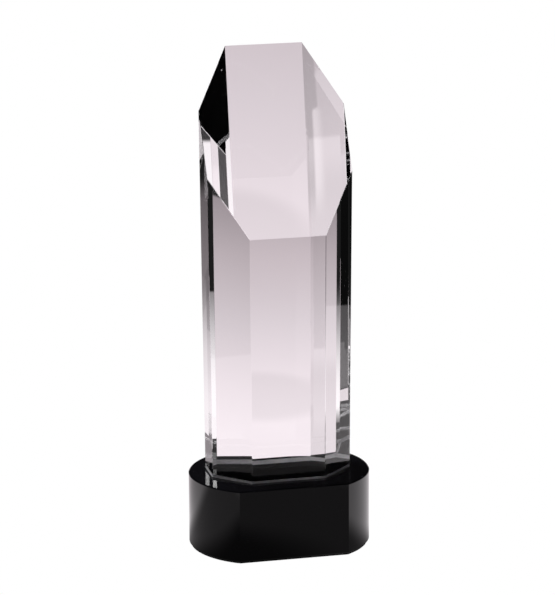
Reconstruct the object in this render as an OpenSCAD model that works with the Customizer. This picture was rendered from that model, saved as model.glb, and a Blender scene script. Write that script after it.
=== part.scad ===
// Crystal award: an eight-sided clear tower with a slanted face, bonded to a black
// block that is round except for its flat front. The front faces -Y and the award
// rests on z = 0.

/* [Tower] */
// Width of the tower's foot, between its two side faces
tower_width = 77.5; // [64:0.5:80]
// Depth of the tower's foot, between its front and back faces
tower_depth = 52; // [44:0.5:54]
// Width of the front and back faces at the foot
front_face_width = 40.8; // [30:0.2:46]
// Width of the two side faces at the foot
side_face_width = 18.4; // [12:0.2:24]
// Height of the front face, from the foot to the slanted face
front_height = 136.3; // [90:0.1:160]
// Tilt of the slanted face from the horizontal, in degrees
slant_angle = 60.7; // [40:0.1:63]
// Growth of the tower's width and depth for every 100 mm of height, in percent
flare = 2.1; // [0:0.1:3]
// Distance that the tower stands behind the middle of the base
tower_setback = 0; // [-3:0.5:5]
// Width of the polished bevel along the tower's upright edges and its slanted face
tower_bevel = 0.3; // [0.2:0.1:1.5]
// Width of the bevel around the tower's foot
foot_bevel = 1.5; // [0.4:0.1:2]

/* [Base] */
// Length of the base, from one rounded end to the other
base_length = 100; // [96:1:120]
// Depth of the base, from its flat front to the middle of its back
base_depth = 77.5; // [72:0.5:80]
// Height of the black block
base_height = 40; // [25:0.1:50]
// Radius of the rounded ends and of the corners of the back
end_radius = 42; // [41:0.5:46]
// Width and height of the polished bevel around the top and bottom of the block
base_bevel = 0.6; // [0.3:0.1:1.5]

/* [Bonds and pad] */
// Thickness of the clear bond between the tower and the base
bond_thickness = 0.1; // [0.1:0.05:0.4]
// Distance that the bond keeps from the bevel around the tower's foot
bond_margin = 0.4; // [0.2:0.1:2]
// Thickness of the felt pad
felt_thickness = 0.8; // [0.6:0.1:3]
// Thickness of the adhesive layer that holds the pad
pad_adhesive_thickness = 0.1; // [0.1:0.05:0.4]
// Distance that the pad keeps from the edge of the base
pad_margin = 0.8; // [0.7:0.1:6]

/* [Hidden] */
$fn = 96;

// Levels, from the table upwards
adhesive_z = felt_thickness;
base_z = adhesive_z + pad_adhesive_thickness;
bond_z = base_z + base_height;
tower_z = bond_z + bond_thickness;

// Corners of the tower's foot, counter-clockwise from the front left
foot = [
    [-front_face_width / 2, -tower_depth / 2], [front_face_width / 2, -tower_depth / 2],
    [tower_width / 2, -side_face_width / 2], [tower_width / 2, side_face_width / 2],
    [front_face_width / 2, tower_depth / 2], [-front_face_width / 2, tower_depth / 2],
    [-tower_width / 2, side_face_width / 2], [-tower_width / 2, -side_face_width / 2]
];
sides = len(foot);
growth = flare / 100 / 100;
slope = tan(slant_angle);

// Height of the tip: where the back face, leaning outwards, meets the slanted face
tip_height = (front_height + slope * tower_depth / 2 * (2 + growth * front_height))
    / (1 - slope * tower_depth / 2 * growth);
stock = 1.2 * tower_width;

// A face is [outward unit normal, distance from the foot's centre along it]
function unit(v) = v / norm(v);
function face_through(p, q, r) = let (n = unit(cross(q - p, r - p))) [n, n * p];

// The side face that starts at foot corner i, leaning outwards with the flare
function side_face(i) =
    let (
        p = foot[i],
        q = foot[(i + 1) % sides],
        grown = p * (1 + growth * tip_height)
    )
    face_through([p.x, p.y, 0], [q.x, q.y, 0], [grown.x, grown.y, tip_height]);

// The bevel of a given width between two faces that meet
function bevel_face(f, g, width) =
    let (
        n = f[0] + g[0],
        half_turn = acos(f[0] * g[0]) / 2
    )
    [unit(n), (f[1] + g[1]) / norm(n) - width / 2 * tan(half_turn)];

side_faces = [for (i = [0:sides - 1]) side_face(i)];
foot_face = [[0, 0, -1], 0];
front_top = [0, -tower_depth / 2 * (1 + growth * front_height), front_height];
slant_normal = [0, -sin(slant_angle), cos(slant_angle)];
slant_face = [slant_normal, slant_normal * front_top];

bevels = [
    for (i = [0:sides - 1]) each [
        bevel_face(side_faces[i], side_faces[(i + 1) % sides], tower_bevel),
        bevel_face(side_faces[i], slant_face, tower_bevel),
        bevel_face(side_faces[i], foot_face, foot_bevel)
    ]
];

// Everything beyond one face, as a block to cut away
module beyond(face) {
    n = face[0];
    rotate([0, acos(n.z), atan2(n.y, n.x)])
        translate([-2 * tip_height, -2 * tip_height, face[1]])
            cube([4 * tip_height, 4 * tip_height, 2 * tip_height]);
}

// The foot's outline, drawn in by a margin
module foot_outline(margin) {
    intersection_for (i = [0:sides - 1]) {
        p = foot[i];
        q = foot[(i + 1) % sides];
        rotate(atan2(q.y - p.y, q.x - p.x))
            translate([-tower_width, (q.x * p.y - p.x * q.y) / norm(q - p) + margin])
                square([2 * tower_width, 2 * tower_width]);
    }
}

// A disc of the rounded end, with its top and bottom edges bevelled
module bevelled_disc(radius, height, bevel) {
    rotate_extrude()
        polygon([
            [0, 0], [radius - bevel, 0], [radius, bevel],
            [radius, height - bevel], [radius - bevel, height], [0, height]
        ]);
}

// A bar along X, from y = 0 backwards, whose long edges are bevelled
module bevelled_bar(length, depth, height, bevel) {
    translate([-length / 2, 0, 0])
        rotate([90, 0, 90])
            linear_extrude(height = length)
                polygon([
                    [bevel, 0], [depth - bevel, 0], [depth, bevel],
                    [depth, height - bevel], [depth - bevel, height],
                    [bevel, height], [0, height - bevel], [0, bevel]
                ]);
}

// The base's shape, drawn in by a margin: two discs and the bar between them, cut
// flat at the front
module base_block(margin, height, bevel) {
    centre = [base_length / 2 - end_radius, base_depth / 2 - end_radius];
    radius = end_radius - margin;
    intersection() {
        union() {
            for (side = [-1, 1])
                translate([side * centre.x, centre.y, 0])
                    bevelled_disc(radius, height, bevel);
            translate([0, centre.y - radius, 0])
                bevelled_bar(2 * centre.x, 2 * radius, height, bevel);
        }
        translate([0, margin - base_depth / 2, 0])
            bevelled_bar(2 * base_length, 2 * base_depth, height, bevel);
    }
}

module felt_pad() {
    color("#17161a")
        base_block(pad_margin, felt_thickness, 0);
}

module pad_adhesive() {
    color("#3a3a3a")
        translate([0, 0, adhesive_z])
            base_block(pad_margin, pad_adhesive_thickness, 0);
}

module black_base() {
    color("#0b0a0d")
        translate([0, 0, base_z])
            base_block(0, base_height, base_bevel);
}

module bond_film() {
    color("#d8d8e0")
        translate([0, tower_setback, bond_z])
            linear_extrude(height = bond_thickness)
                foot_outline(bond_margin + foot_bevel * cos(45));
}

module crystal_tower() {
    color("#dcd6de")
        translate([0, tower_setback, tower_z])
            difference() {
                translate([-stock, -stock, 0])
                    cube([2 * stock, 2 * stock, tip_height]);
                for (face = concat(side_faces, [slant_face], bevels))
                    beyond(face);
            }
}

felt_pad();
pad_adhesive();
black_base();
bond_film();
crystal_tower();
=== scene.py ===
import math

import bmesh
import bpy
from mathutils import Matrix, Vector
from mathutils.noise import noise as noise_value


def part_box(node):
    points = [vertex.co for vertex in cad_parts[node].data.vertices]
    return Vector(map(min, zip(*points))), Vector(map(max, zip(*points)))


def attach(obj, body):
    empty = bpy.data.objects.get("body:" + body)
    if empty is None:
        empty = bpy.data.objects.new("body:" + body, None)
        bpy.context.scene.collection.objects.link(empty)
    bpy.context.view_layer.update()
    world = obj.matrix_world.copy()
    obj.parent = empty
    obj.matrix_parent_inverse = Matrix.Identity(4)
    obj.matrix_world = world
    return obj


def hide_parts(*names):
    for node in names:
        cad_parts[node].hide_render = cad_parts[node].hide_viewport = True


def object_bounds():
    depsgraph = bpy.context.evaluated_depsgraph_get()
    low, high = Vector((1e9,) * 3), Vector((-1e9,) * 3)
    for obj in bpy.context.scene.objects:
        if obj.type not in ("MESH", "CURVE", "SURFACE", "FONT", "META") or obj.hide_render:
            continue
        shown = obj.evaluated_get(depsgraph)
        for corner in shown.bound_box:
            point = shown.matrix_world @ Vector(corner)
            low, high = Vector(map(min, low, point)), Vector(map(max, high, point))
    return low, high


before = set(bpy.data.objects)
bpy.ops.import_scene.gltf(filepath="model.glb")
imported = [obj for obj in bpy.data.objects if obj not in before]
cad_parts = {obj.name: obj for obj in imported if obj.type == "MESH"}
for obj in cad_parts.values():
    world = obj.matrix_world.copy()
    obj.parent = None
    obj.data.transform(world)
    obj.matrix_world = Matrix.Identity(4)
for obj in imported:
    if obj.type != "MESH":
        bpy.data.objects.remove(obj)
CAD_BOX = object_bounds()

# Lengths are in metres and angles in degrees
MM = 0.001
LOW, HIGH = CAD_BOX
HEIGHT = HIGH.z - LOW.z
WIDTH = HIGH.x - LOW.x
FOOT_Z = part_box("crystal_tower")[0].z

# Camera, to the left of the front and a little above, with its lens and sensor in millimetres
CAMERA_AZIMUTH = -13.63
CAMERA_ELEVATION = 14.41
CAMERA_ROLL = -0.31
CAMERA_DISTANCE = 6.605 * HEIGHT
CAMERA_FOCAL = 200.5
CAMERA_SENSOR = 36.0
CAMERA_REACH = 50.0
AIM_HEIGHT = 0.507 * HEIGHT
AIM_SIDE = -0.0023 * WIDTH
AIM_BACK = -3.0 * MM

# Floor, and the edges of the lit sheet on it. Each soft edge goes from where it is 0 to where it is 1
TABLE_SIZE = 14.0
SHEET_LEFT = -0.397
SHEET_RIGHT = 0.53
SHEET_BACK = 0.92
SHEET_SOFTNESS = 0.004
SHEET_BACK_FADE = 0.1
SHEET_FRONT_SLANT = 0.5
SHEET_FRONT_EDGE = (-0.68, -0.24)
DARK_TABLE = (0.012, 0.012, 0.012, 1.0)

# Light of the sheet at growing distances from the award
SHEET_STOPS = [
    (0.15, (1.00, 0.915, 0.96)),
    (0.32, (0.89, 0.80, 0.845)),
    (0.50, (0.755, 0.68, 0.72)),
    (0.70, (0.63, 0.55, 0.585)),
    (0.90, (0.46, 0.40, 0.43)),
]
SHEET_LEAN = 0.22
SHEET_FALLOFF = -1.95
FRONT_EDGE = (0.17, 0.03)
FRONT_LIGHT = (1.05, 1.00, 1.03, 1.0)

# Soft shadows on the sheet: centre, radii and strength
SHADES = [
    ((0.000, -0.100), (0.100, 0.120), 0.84),
    ((-0.100, -0.040), (0.120, 0.085), 0.70),
    ((-0.090, 0.220), (0.100, 0.160), 0.16),
    ((0.055, 0.305), (0.050, 0.060), 0.11),
]
SHADE_RIM = (1.3, 0.5)

# Painted shadow of the award on the sheet, with a painted caustic line beside it. Their line passes the
# side offset to the right of the middle and leans left
SHADOW_LINE_SIDE = 7.2 * MM
SHADOW_LINE_LEAN = 0.307
SHADOW_LINE_START = (0.30, 0.36)
SHADOW_LINE_FAR = (0.45, 0.46)
SHADOW_LINE_EDGE = (-0.6 * MM, 0.6 * MM)
PAINTED_SHADOW_END = (5.0 * MM, 3.2 * MM)
PAINTED_SHADOW_GROWTH = 3.5 * MM
PAINTED_SHADOW_STRENGTH = 0.20
PAINTED_CAUSTIC_START = (3.5 * MM, 5.2 * MM)
PAINTED_CAUSTIC_END = (11.0 * MM, 6.0 * MM)
PAINTED_CAUSTIC_STRENGTH = 0.45
PAINTED_CAUSTIC_LIGHT = (1.05, 0.97, 1.01, 1.0)

# Black cards behind the award: name, left edge, right edge and height
FLAG_BACK = 0.25
FLAGS = [("flag_tall", -0.024, 0.004, 0.15), ("flag_low", 0.004, 0.026, 0.075)]
# The cards glow faintly near the table and fade to black higher up: painted light from the table
FLAG_FADE = (0.0, 0.055)
FLAG_BOTTOM = (0.035, 0.032, 0.034, 1.0)
FLAG_TOP = (0.002, 0.002, 0.002, 1.0)

# Soft boxes: name, angle from the back towards the right, elevation, width, height and radiance
SOFTBOX_DISTANCE = 1.2
SOFTBOXES = [
    ("softbox_top", -35.0, 68.0, 0.50, 0.35, 26.0),
    ("softbox_right", 120.0, 19.0, 0.16, 0.12, 2.0),
    ("softbox_left", -140.0, 21.5, 0.40, 0.14, 4.0),
    ("softbox_back", 33.0, 17.0, 0.16, 0.10, 1.5),
]
STUDIO_DARK = (0.012, 0.011, 0.013, 1.0)

# Bounces that light may take
GLOSSY_BOUNCES = 20
CLEAR_BOUNCES = 24

# Colours and refractive indices of the materials
CRYSTAL_INDEX = 1.52
CRYSTAL_CLEAN = (0.992, 0.986, 0.990, 1.0)
CRYSTAL_MARKED = (0.982, 0.976, 0.980, 1.0)
BLACK_INDEX = 1.5
BLACK_CLEAN = (0.003, 0.003, 0.004, 1.0)
BLACK_DUST = (0.035, 0.034, 0.036, 1.0)
FELT_DARK = (0.004, 0.004, 0.005, 1.0)
FELT_PALE = (0.034, 0.032, 0.037, 1.0)
TAPE_DARK = (0.010, 0.010, 0.011, 1.0)
TAPE_PALE = (0.045, 0.045, 0.048, 1.0)
CURED_DARK = (0.50, 0.50, 0.52, 1.0)
CURED_PALE = (0.90, 0.88, 0.90, 1.0)
CONTACT_INDEX = 0.989
CONTACT_CLEAR = (0.001, 0.001, 0.001, 1.0)
CONTACT_HAZE = (0.004, 0.004, 0.004, 1.0)
CONTACT_BUBBLE = (0.03, 0.03, 0.03, 1.0)

# Bond between the tower and the base
BOND_OVERLAP = 0.04 * MM

# Adhesive around the foot. Heights are above the foot, and the ones at the back are added there
CORNER_MERGE = 1.0 * MM
FOOT_LEVEL = (-0.05 * MM, 0.05 * MM)
BEVEL_LEVEL = (0.5 * MM, 2.0 * MM)
FILLET_LIFT = 0.7 * MM
FILLET_CLIMB = 0.8 * MM
# Its section, as shares of the groove's width and height: along the bottom, up the hollow
# outer side and back inside the tower
FILLET_SECTION = [
    (-0.05, -0.01), (1.15, -0.01), (1.01, 0.22), (0.99, 0.45),
    (1.01, 0.75), (1.04, 0.97), (0.97, 1.02), (0.90, 0.98),
]

# Felt pad: weld distance, rim, and the waves that make the rim uneven
FELT_WELD = 0.01 * MM
FELT_FLAT = 0.5
FELT_STEP = 0.8 * MM
FELT_RIM_ANGLE = 60.0
FELT_RIM = 0.22 * MM
FELT_RIM_SEGMENTS = 3
FELT_WAVE = 900.0
FELT_WAVE_UP = 4.0
FELT_FUZZ = 0.12 * MM
FELT_INWARD = 0.5
FELT_LEVEL = 0.99


# ---------------------------------------------------------------- helpers


def node(tree, kind, **settings):
    """A new shader node with the given attributes set."""
    made = tree.nodes.new(kind)
    for name, value in settings.items():
        setattr(made, name, value)
    return made


def feed(tree, socket, value):
    """Links a socket to an input, or sets the input to a plain value."""
    if isinstance(value, bpy.types.NodeSocket):
        tree.links.new(value, socket)
    else:
        socket.default_value = value


def math_node(tree, operation, a, b=0.0, clamp=False):
    """The result of one arithmetic step."""
    made = node(tree, "ShaderNodeMath", operation=operation, use_clamp=clamp)
    feed(tree, made.inputs[0], a)
    feed(tree, made.inputs[1], b)
    return made.outputs[0]


def times(tree, value, *factors):
    """The product of a value and some factors."""
    for factor in factors:
        value = math_node(tree, "MULTIPLY", value, factor)
    return value


def weighted(tree, a, share, b):
    """A mix of two values, with the given share of the first."""
    return math_node(tree, "ADD", times(tree, a, share), times(tree, b, 1.0 - share))


def smooth_step(tree, value, start, end):
    """0 up to the start and 1 past the end, with an even curve between. The start may be the higher."""
    made = node(tree, "ShaderNodeMapRange", interpolation_type="SMOOTHSTEP")
    rising = start < end
    feed(tree, made.inputs["Value"], value)
    made.inputs["From Min"].default_value = start if rising else end
    made.inputs["From Max"].default_value = end if rising else start
    made.inputs["To Min"].default_value = 0.0 if rising else 1.0
    made.inputs["To Max"].default_value = 1.0 if rising else 0.0
    return made.outputs["Result"]


def mix_colour(tree, factor, a, b, blend="MIX"):
    """A mix of two colours."""
    made = node(tree, "ShaderNodeMix", data_type="RGBA", blend_type=blend)
    feed(tree, made.inputs["Factor"], factor)
    feed(tree, made.inputs["A"], a)
    feed(tree, made.inputs["B"], b)
    return made.outputs["Result"]


def grey(value):
    """A neutral colour."""
    return (value, value, value, 1.0)


def darken(tree, colour, amount):
    """The colour, faded to black by an amount from 0 to 1."""
    return mix_colour(tree, amount, colour, grey(0.0))


def position(tree):
    """The shaded point, with its three coordinates."""
    place = node(tree, "ShaderNodeNewGeometry").outputs["Position"]
    parts = node(tree, "ShaderNodeSeparateXYZ")
    feed(tree, parts.inputs[0], place)
    return place, parts.outputs["X"], parts.outputs["Y"], parts.outputs["Z"]


def noise(tree, scale, detail=4.0, roughness=0.5, stretch=(1.0, 1.0, 1.0)):
    """Noise that is fixed to the object, with features about 1 / scale metres wide."""
    mapping = node(tree, "ShaderNodeMapping")
    mapping.inputs["Scale"].default_value = stretch
    feed(tree, mapping.inputs["Vector"], node(tree, "ShaderNodeTexCoord").outputs["Object"])
    made = node(tree, "ShaderNodeTexNoise")
    feed(tree, made.inputs["Vector"], mapping.outputs["Vector"])
    made.inputs["Scale"].default_value = scale
    made.inputs["Detail"].default_value = detail
    made.inputs["Roughness"].default_value = roughness
    return made.outputs["Fac"]


def specks(tree, scale, size):
    """1 on small scattered dots and 0 elsewhere."""
    made = node(tree, "ShaderNodeTexVoronoi", feature="F1")
    feed(tree, made.inputs["Vector"], node(tree, "ShaderNodeTexCoord").outputs["Object"])
    made.inputs["Scale"].default_value = scale
    return smooth_step(tree, made.outputs["Distance"], size, 0.5 * size)


def bump(tree, shader, height, depth, strength):
    """Raises a shader's surface by a height map."""
    made = node(tree, "ShaderNodeBump")
    made.inputs["Strength"].default_value = strength
    made.inputs["Distance"].default_value = depth
    feed(tree, made.inputs["Height"], height)
    feed(tree, shader.inputs["Normal"], made.outputs["Normal"])


def empty_material(name):
    """A material with only its output node."""
    made = bpy.data.materials.new(name)
    made.use_nodes = True
    made.node_tree.nodes.clear()
    output = node(made.node_tree, "ShaderNodeOutputMaterial")
    return made, made.node_tree, output


def principled_material(name):
    """A material with a Principled shader on its output."""
    made, tree, output = empty_material(name)
    shader = node(tree, "ShaderNodeBsdfPrincipled")
    feed(tree, output.inputs["Surface"], shader.outputs["BSDF"])
    return made, tree, shader


def mesh_object(name, bm):
    """A new object that holds the mesh, in the frame's coordinates."""
    mesh = bpy.data.meshes.new(name)
    bm.to_mesh(mesh)
    bm.free()
    made = bpy.data.objects.new(name, mesh)
    bpy.context.scene.collection.objects.link(made)
    return made


# ---------------------------------------------------------------- camera


def make_camera():
    """A long lens that looks slightly down at the award's middle, rolled by a third of a degree."""
    azimuth = math.radians(CAMERA_AZIMUTH)
    elevation = math.radians(CAMERA_ELEVATION)
    roll = math.radians(CAMERA_ROLL)
    back = Vector((
        math.sin(azimuth) * math.cos(elevation),
        -math.cos(azimuth) * math.cos(elevation),
        math.sin(elevation),
    ))
    level = Vector((math.cos(azimuth), math.sin(azimuth), 0.0))
    above = back.cross(level)
    right = level * math.cos(roll) + above * math.sin(roll)
    up = above * math.cos(roll) - level * math.sin(roll)
    aim = level * AIM_SIDE + Vector((0.0, AIM_BACK, AIM_HEIGHT))
    place = aim + back * CAMERA_DISTANCE
    lens = bpy.data.cameras.new("camera")
    lens.sensor_width = CAMERA_SENSOR
    lens.lens = CAMERA_FOCAL
    lens.clip_end = CAMERA_REACH
    made = bpy.data.objects.new("camera", lens)
    bpy.context.scene.collection.objects.link(made)
    made.matrix_world = Matrix((
        (right.x, up.x, back.x, place.x),
        (right.y, up.y, back.y, place.y),
        (right.z, up.z, back.z, place.z),
        (0.0, 0.0, 0.0, 1.0),
    ))
    bpy.context.scene.camera = made


# ---------------------------------------------------------------- studio


def sheet_light(tree, place, x, y):
    """The sheet's own light: pale lavender that dims with distance behind, and white in front."""
    distance = node(tree, "ShaderNodeVectorMath", operation="LENGTH")
    feed(tree, distance.inputs[0], place)
    ramp = node(tree, "ShaderNodeValToRGB")
    ramp.color_ramp.interpolation = "LINEAR"
    while len(ramp.color_ramp.elements) < len(SHEET_STOPS):
        ramp.color_ramp.elements.new(0.5)
    for element, (at, colour) in zip(ramp.color_ramp.elements, SHEET_STOPS):
        element.position = at
        element.color = (*colour, 1.0)
    feed(tree, ramp.inputs["Fac"], distance.outputs["Value"])

    # Behind the award it is brightest along a line that leans to the right
    aside = math_node(tree, "SUBTRACT", x, times(tree, y, SHEET_LEAN))
    lateral = math_node(tree, "EXPONENT", times(tree, aside, aside, SHEET_FALLOFF))
    behind = mix_colour(tree, 1.0, ramp.outputs["Color"], lateral, "MULTIPLY")
    return mix_colour(tree, smooth_step(tree, y, *FRONT_EDGE), behind, FRONT_LIGHT)


def soft_patch(tree, x, y, centre, radii):
    """1 inside an ellipse on the table and 0 outside it, with a soft rim."""
    dx = math_node(tree, "DIVIDE", math_node(tree, "SUBTRACT", x, centre[0]), radii[0])
    dy = math_node(tree, "DIVIDE", math_node(tree, "SUBTRACT", y, centre[1]), radii[1])
    square = math_node(tree, "ADD", times(tree, dx, dx), times(tree, dy, dy))
    return smooth_step(tree, square, *SHADE_RIM)


def add_painted_shadow_and_caustic(tree, glow, x, y):
    """A painted shadow that runs back and to the left, behind the award, with a painted caustic line
    along its right side.
    """
    across = math_node(tree, "ADD", x, times(tree, y, SHADOW_LINE_LEAN))
    across = math_node(tree, "SUBTRACT", across, SHADOW_LINE_SIDE)
    begun = smooth_step(tree, y, *SHADOW_LINE_START)
    far = smooth_step(tree, y, *SHADOW_LINE_FAR)

    # The painted shadow is wider where it is far away, and the painted caustic line ends there
    shifted = math_node(tree, "SUBTRACT", across, times(tree, far, PAINTED_SHADOW_GROWTH))
    painted_shadow = smooth_step(tree, across, *SHADOW_LINE_EDGE)
    painted_shadow = times(tree, painted_shadow, smooth_step(tree, shifted, *PAINTED_SHADOW_END), begun)
    glow = darken(tree, glow, times(tree, painted_shadow, PAINTED_SHADOW_STRENGTH))
    near = math_node(tree, "SUBTRACT", begun, far, clamp=True)
    painted_caustic = smooth_step(tree, across, *PAINTED_CAUSTIC_START)
    painted_caustic = times(tree, painted_caustic, smooth_step(tree, across, *PAINTED_CAUSTIC_END), near)
    return mix_colour(tree, times(tree, painted_caustic, PAINTED_CAUSTIC_STRENGTH), glow, PAINTED_CAUSTIC_LIGHT)


def lit_area(tree, x, y):
    """1 on the lit part of the table and 0 outside it. Its front edge slants."""
    slant = math_node(tree, "SUBTRACT", y, times(tree, x, SHEET_FRONT_SLANT))
    front = smooth_step(tree, slant, *SHEET_FRONT_EDGE)
    left = smooth_step(tree, x, SHEET_LEFT - SHEET_SOFTNESS, SHEET_LEFT + SHEET_SOFTNESS)
    right = smooth_step(tree, x, SHEET_RIGHT + SHEET_SOFTNESS, SHEET_RIGHT - SHEET_SOFTNESS)
    back = smooth_step(tree, y, SHEET_BACK, SHEET_BACK - SHEET_BACK_FADE)
    return times(tree, front, left, right, back)


def table_glow(tree):
    """What the crystal and the base see of the table."""
    place, x, y, _ = position(tree)
    glow = sheet_light(tree, place, x, y)
    for centre, radii, strength in SHADES:
        glow = darken(tree, glow, times(tree, soft_patch(tree, x, y, centre, radii), strength))
    glow = add_painted_shadow_and_caustic(tree, glow, x, y)
    return mix_colour(tree, lit_area(tree, x, y), DARK_TABLE, glow)


def table_material():
    """White to the camera, and the lit sheet to everything that reflects or bends it."""
    made, tree, output = empty_material("table")
    seen = node(tree, "ShaderNodeEmission")
    seen.inputs["Color"].default_value = grey(1.0)
    sheet = node(tree, "ShaderNodeEmission")
    feed(tree, sheet.inputs["Color"], table_glow(tree))
    both = node(tree, "ShaderNodeMixShader")
    feed(tree, both.inputs[0], node(tree, "ShaderNodeLightPath").outputs["Is Camera Ray"])
    feed(tree, both.inputs[1], sheet.outputs["Emission"])
    feed(tree, both.inputs[2], seen.outputs["Emission"])
    feed(tree, output.inputs["Surface"], both.outputs["Shader"])
    return made


def flat_card(name, corners):
    """A flat stage card with the given corners."""
    bm = bmesh.new()
    bm.faces.new([bm.verts.new(c) for c in corners])
    made = mesh_object(name, bm)
    return made


def make_table():
    """The plain pale floor."""
    half = TABLE_SIZE / 2
    table = flat_card("table", [(-half, -half, 0), (half, -half, 0), (half, half, 0), (-half, half, 0)])
    table.data.materials.append(table_material())
    table.visible_shadow = False


def flag_material():
    """Black card that glows a little where it meets the table: painted light from the table."""
    made, tree, output = empty_material("black_card")
    _, _, _, height = position(tree)
    glow = node(tree, "ShaderNodeEmission")
    fade = smooth_step(tree, height, *FLAG_FADE)
    feed(tree, glow.inputs["Color"], mix_colour(tree, fade, FLAG_BOTTOM, FLAG_TOP))
    feed(tree, output.inputs["Surface"], glow.outputs["Emission"])
    return made


def make_flags():
    """Black cards that the camera doesn't see, which draw the dark lines in the crystal's edges."""
    black = flag_material()
    for name, left, right, top in FLAGS:
        outline = [(left, 0), (right, 0), (right, top), (left, top)]
        flag = flat_card(name, [(x, FLAG_BACK, z) for x, z in outline])
        flag.data.materials.append(black)
        flag.visible_camera = False
        flag.visible_shadow = False


def make_softbox(name, azimuth, elevation, width, height, radiance):
    """A soft box that looks at the tower's foot."""
    across, up = math.radians(azimuth), math.radians(elevation)
    level = math.cos(up)
    towards = Vector((math.sin(across) * level, math.cos(across) * level, math.sin(up)))
    lamp = bpy.data.lights.new(name, "AREA")
    lamp.shape = "RECTANGLE"
    lamp.size = width
    lamp.size_y = height
    lamp.energy = radiance * math.pi * width * height
    box = bpy.data.objects.new(name, lamp)
    bpy.context.scene.collection.objects.link(box)
    box.location = Vector((0.0, 0.0, FOOT_Z)) + towards * SOFTBOX_DISTANCE
    box.rotation_mode = "QUATERNION"
    box.rotation_quaternion = (-towards).to_track_quat("-Z", "Y")


def make_world():
    """White to the camera and a dark studio to everything else."""
    world = bpy.data.worlds.new("studio")
    bpy.context.scene.world = world
    world.use_nodes = True
    tree = world.node_tree
    tree.nodes.clear()
    output = node(tree, "ShaderNodeOutputWorld")
    seen = node(tree, "ShaderNodeBackground")
    seen.inputs["Color"].default_value = grey(1.0)
    dark = node(tree, "ShaderNodeBackground")
    dark.inputs["Color"].default_value = STUDIO_DARK
    both = node(tree, "ShaderNodeMixShader")
    feed(tree, both.inputs[0], node(tree, "ShaderNodeLightPath").outputs["Is Camera Ray"])
    feed(tree, both.inputs[1], dark.outputs["Background"])
    feed(tree, both.inputs[2], seen.outputs["Background"])
    feed(tree, output.inputs["Surface"], both.outputs["Shader"])


def set_light_paths():
    """Enough bounces for light that runs round inside the tower."""
    paths = bpy.context.scene.cycles
    paths.max_bounces = CLEAR_BOUNCES
    paths.glossy_bounces = GLOSSY_BOUNCES
    paths.transmission_bounces = CLEAR_BOUNCES


def make_studio():
    """The camera, the table, the cards, the lights and how they are drawn."""
    make_camera()
    make_table()
    make_flags()
    for softbox in SOFTBOXES:
        make_softbox(*softbox)
    make_world()
    set_light_paths()
    bpy.context.scene.view_settings.view_transform = "Standard"


# ---------------------------------------------------------------- materials


def crystal_material():
    """Clear optical crystal: polished, with faint hand marks and a little dust."""
    made, tree, shader = principled_material("clear_crystal")
    marks = smooth_step(tree, noise(tree, scale=45.0, detail=6.0, roughness=0.6), start=0.56, end=0.80)
    dust = times(tree, specks(tree, scale=170.0, size=0.045), noise(tree, scale=20.0))
    clouding = math_node(tree, "ADD", times(tree, marks, 0.012), times(tree, dust, 0.25), clamp=True)
    feed(tree, shader.inputs["Roughness"], clouding)
    feed(tree, shader.inputs["Base Color"], mix_colour(tree, marks, CRYSTAL_CLEAN, CRYSTAL_MARKED))
    shader.inputs["Transmission Weight"].default_value = 1.0
    shader.inputs["IOR"].default_value = CRYSTAL_INDEX
    return made


def black_crystal_material():
    """Opaque black crystal with a mirror polish, faint wiping marks and a little dust."""
    made, tree, shader = principled_material("black_crystal")
    wiped = noise(tree, scale=60.0, detail=8.0, roughness=0.65, stretch=(0.35, 1.0, 1.0))
    marks = smooth_step(tree, wiped, start=0.45, end=0.75)
    dust = specks(tree, scale=420.0, size=0.06)
    feed(tree, shader.inputs["Base Color"], mix_colour(tree, dust, BLACK_CLEAN, BLACK_DUST))
    gloss = math_node(tree, "ADD", times(tree, marks, 0.035), 0.015)
    rough = math_node(tree, "ADD", gloss, times(tree, dust, 0.4), clamp=True)
    feed(tree, shader.inputs["Roughness"], rough)
    shader.inputs["IOR"].default_value = BLACK_INDEX
    return made


def felt_material():
    """Pressed black felt, with its fibres and a soft sheen."""
    made, tree, shader = principled_material("felt")
    fibres = noise(tree, scale=2600.0, detail=8.0, roughness=0.7, stretch=(1.0, 1.0, 2.5))
    clumps = noise(tree, scale=240.0, detail=5.0, roughness=0.6)
    woolly = weighted(tree, fibres, 0.65, clumps)
    feed(tree, shader.inputs["Base Color"], mix_colour(tree, woolly, FELT_DARK, FELT_PALE))
    shader.inputs["Roughness"].default_value = 0.95
    shader.inputs["Sheen Weight"].default_value = 0.25
    shader.inputs["Sheen Roughness"].default_value = 0.6
    bump(tree, shader, woolly, depth=0.25 * MM, strength=0.8)
    return made


def adhesive_material():
    """The grey film that holds the felt, with the mottled look of transfer tape."""
    made, tree, shader = principled_material("adhesive_film")
    mottle = noise(tree, scale=900.0, detail=6.0, roughness=0.6)
    feed(tree, shader.inputs["Base Color"], mix_colour(tree, mottle, TAPE_DARK, TAPE_PALE))
    feed(tree, shader.inputs["Roughness"], math_node(tree, "ADD", times(tree, mottle, 0.3), 0.3))
    bump(tree, shader, mottle, depth=0.02 * MM, strength=0.5)
    return made


def fillet_material():
    """Cured adhesive in the groove around the foot: pale, cloudy and a little glossy."""
    made, tree, shader = principled_material("cured_bond")
    cloud = noise(tree, scale=700.0, detail=5.0, roughness=0.6)
    runs = noise(tree, scale=90.0, detail=3.0, roughness=0.5)
    pale = weighted(tree, cloud, 0.4, runs)
    feed(tree, shader.inputs["Base Color"], mix_colour(tree, pale, CURED_DARK, CURED_PALE))
    feed(tree, shader.inputs["Roughness"], math_node(tree, "ADD", times(tree, cloud, 0.3), 0.15))
    bump(tree, shader, cloud, depth=0.05 * MM, strength=0.5)
    return made


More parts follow.
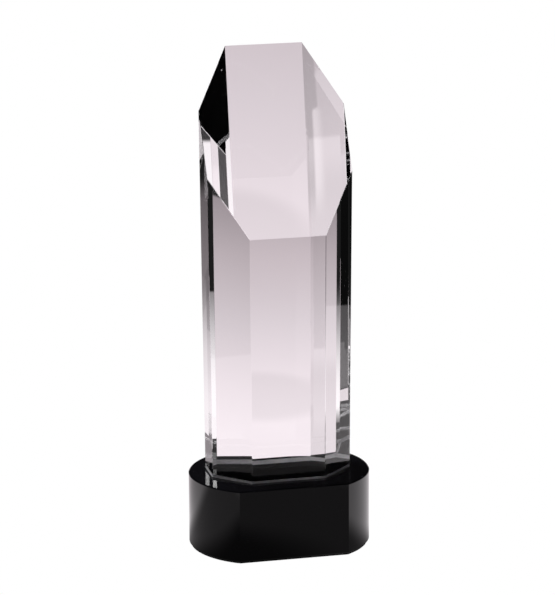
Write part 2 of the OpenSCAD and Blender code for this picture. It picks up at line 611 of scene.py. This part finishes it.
def contact_material():
    """The bond where it wets the foot: black shows through it, but it mirrors light that grazes it."""
    made, tree, output = empty_material("bond_contact")
    through = node(tree, "ShaderNodeBsdfDiffuse")
    bubbles = specks(tree, scale=500.0, size=0.10)
    haze = mix_colour(tree, noise(tree, scale=120.0, detail=5.0), CONTACT_CLEAR, CONTACT_HAZE)
    feed(tree, through.inputs["Color"], mix_colour(tree, bubbles, haze, CONTACT_BUBBLE))
    mirror = node(tree, "ShaderNodeBsdfAnisotropic")
    mirror.inputs["Color"].default_value = grey(1.0)
    mirror.inputs["Roughness"].default_value = 0.0
    fresnel = node(tree, "ShaderNodeFresnel")
    fresnel.inputs["IOR"].default_value = CONTACT_INDEX
    both = node(tree, "ShaderNodeMixShader")
    feed(tree, both.inputs[0], fresnel.outputs["Fac"])
    feed(tree, both.inputs[1], through.outputs["BSDF"])
    feed(tree, both.inputs[2], mirror.outputs["BSDF"])
    feed(tree, output.inputs["Surface"], both.outputs["Shader"])
    return made


# ---------------------------------------------------------------- pieces


def make_bond():
    """The bond film, drawn a hair taller than its gap so that no air shows on either side."""
    bm = bmesh.new()
    bm.from_mesh(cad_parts["bond_film"].data)
    low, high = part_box("bond_film")
    middle = (low.z + high.z) / 2
    for vertex in bm.verts:
        vertex.co.z += BOND_OVERLAP if vertex.co.z > middle else -BOND_OVERLAP
    piece = mesh_object("bond_seam", bm)
    piece.data.materials.append(contact_material())
    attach(piece, "root")
    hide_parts("bond_film")


def corner_ring(mesh, low, high):
    """The tower's corners between two heights above its foot, one for each edge, in order round it."""
    found = []
    for vertex in mesh.vertices:
        near = [c for c in found if (c.xy - vertex.co.xy).length < CORNER_MERGE]
        if low < vertex.co.z - FOOT_Z < high and not near:
            found.append(vertex.co.copy())
    return sorted(found, key=lambda c: math.atan2(c.y, c.x))


def make_fillet():
    """The adhesive that fills the groove under the foot's bevel, and climbs towards the back."""
    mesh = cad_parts["crystal_tower"].data
    base_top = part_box("black_base")[1].z
    inner = corner_ring(mesh, *FOOT_LEVEL)
    outer = corner_ring(mesh, *BEVEL_LEVEL)
    front, back = min(c.y for c in outer), max(c.y for c in outer)
    bm = bmesh.new()
    sections = []
    for near, far in zip(inner, outer):
        outward = (far.xy - near.xy).normalized()
        groove = (far.xy - near.xy).length
        behind = (far.y - front) / (back - front)
        bottom = base_top + FILLET_LIFT * behind
        rise = far.z - base_top + FILLET_CLIMB * behind
        sections.append([
            bm.verts.new((
                near.x + outward.x * groove * share,
                near.y + outward.y * groove * share,
                bottom + rise * up,
            ))
            for share, up in FILLET_SECTION
        ])
    for this, following in zip(sections, sections[1:] + sections[:1]):
        for k in range(len(this)):
            after = (k + 1) % len(this)
            bm.faces.new((this[k], following[k], following[after], this[after]))
    bmesh.ops.recalc_face_normals(bm, faces=bm.faces)
    piece = mesh_object("bond_fillet", bm)
    piece.data.materials.append(fillet_material())
    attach(piece, "root")


def rounded_felt():
    """The felt pad's mesh, cut into short steps round its outline and rounded along its rim."""
    bm = bmesh.new()
    bm.from_mesh(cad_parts["felt_pad"].data)
    bmesh.ops.remove_doubles(bm, verts=bm.verts, dist=FELT_WELD)
    flat = math.radians(FELT_FLAT)
    bmesh.ops.dissolve_limit(bm, angle_limit=flat, verts=bm.verts, edges=bm.edges)
    long_edges = [e for e in bm.edges if e.calc_length() > FELT_STEP]
    for edge in long_edges:
        cuts = int(edge.calc_length() / FELT_STEP)
        bmesh.ops.subdivide_edges(bm, edges=[edge], cuts=cuts)
    sharp = math.radians(FELT_RIM_ANGLE)
    rim = [e for e in bm.edges if e.is_manifold and e.calc_face_angle() > sharp]
    bmesh.ops.bevel(
        bm, geom=rim, offset=FELT_RIM, segments=FELT_RIM_SEGMENTS, profile=0.5, affect="EDGES"
    )
    return bm


def make_felt():
    """The felt pad, with a rim that is rounded and slightly uneven as cut felt is."""
    bm = rounded_felt()
    middle = sum((v.co.xy for v in bm.verts), Vector((0.0, 0.0))) / len(bm.verts)
    for vertex in bm.verts:
        outward = (vertex.co.xy - middle).normalized()
        place = Vector((vertex.co.x, vertex.co.y, FELT_WAVE_UP * vertex.co.z))
        step = outward * (FELT_FUZZ * (noise_value(place * FELT_WAVE) - FELT_INWARD))
        vertex.co.x += step.x
        vertex.co.y += step.y
    piece = mesh_object("felt_sheet", bm)
    for face in piece.data.polygons:
        face.use_smooth = abs(face.normal.z) < FELT_LEVEL
    piece.data.materials.append(felt_material())
    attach(piece, "root")
    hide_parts("felt_pad")


def dress(name, material):
    """Gives a CAD node its material."""
    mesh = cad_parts[name].data
    mesh.materials.clear()
    mesh.materials.append(material)


make_studio()
make_bond()
make_fillet()
make_felt()
dress("crystal_tower", crystal_material())
dress("black_base", black_crystal_material())
dress("pad_adhesive", adhesive_material())
